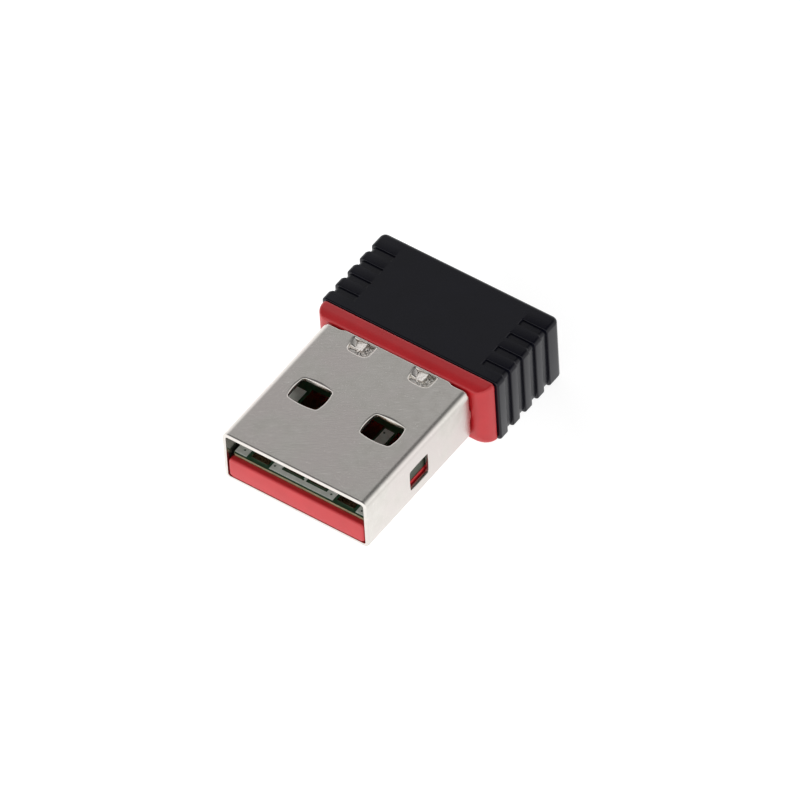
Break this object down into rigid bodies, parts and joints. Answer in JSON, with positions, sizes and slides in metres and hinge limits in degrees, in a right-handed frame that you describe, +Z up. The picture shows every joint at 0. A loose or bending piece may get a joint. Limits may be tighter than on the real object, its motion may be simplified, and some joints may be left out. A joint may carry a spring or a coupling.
{
  "type": "usb wifi adapter",
  "caption": "Nano-size USB Wi-Fi adapter: metal USB-A plug, red carrier with a rounded collar and a ribbed black cap around a small circuit board.",
  "frame": {"origin": "under the middle of the adapter, on the plane of the underside of the cap", "axes": "+Y from the mouth of the plug to the closed end of the cap, +Z up through the windowed side of the plug, +X to the right seen from the mouth"},
  "size_m": [0.0146, 0.0208, 0.0057],
  "materials": {
    "nickel_shell": "satin nickel plating with fine specks",
    "red_plastic": "satin moulded red",
    "black_plastic": "satin moulded black with a slight blue cast",
    "board": "green solder mask over tan glass laminate",
    "contact_gold": "thin gold plating, slightly dull",
    "tinned_copper": "tinned, grey with a green cast",
    "masked_copper": "copper under green solder mask",
    "chip_package": "matt black moulding compound",
    "crystal_ceramic": "unglazed beige ceramic",
    "crystal_metal": "satin metal lid",
    "ferrite": "dark grey ferrite",
    "capacitor_ceramic": "tan ceramic with tinned ends",
    "resistor_black": "black glaze with tinned ends"
  },
  "bodies": {
    "root": {"usb_shell": "nickel_shell", "carrier": "red_plastic", "housing_cap": "black_plastic", "pcb": "board", "contact_ground": "contact_gold", "contact_data_plus": "contact_gold", "contact_data_minus": "contact_gold", "contact_vbus": "contact_gold", "tinned_plane": "tinned_copper", "tinned_strip_left": "tinned_copper", "tinned_strip_right": "tinned_copper", "antenna_trace": "masked_copper", "wifi_chip": "chip_package", "crystal_base": "crystal_ceramic", "crystal_can": "crystal_metal", "power_inductor": "ferrite", "rf_matching_inductor": "ferrite", "rf_matching_capacitor_1": "capacitor_ceramic", "rf_matching_capacitor_2": "capacitor_ceramic", "bulk_capacitor_1": "capacitor_ceramic", "bulk_capacitor_2": "capacitor_ceramic", "bias_resistor_1": "resistor_black", "bias_resistor_2": "resistor_black", "decoupling_capacitor_1": "capacitor_ceramic", "decoupling_capacitor_2": "capacitor_ceramic", "decoupling_capacitor_3": "capacitor_ceramic", "decoupling_capacitor_4": "capacitor_ceramic", "decoupling_capacitor_5": "capacitor_ceramic", "decoupling_capacitor_6": "capacitor_ceramic", "decoupling_capacitor_7": "capacitor_ceramic", "decoupling_capacitor_8": "capacitor_ceramic"}
  },
  "joints": []
}
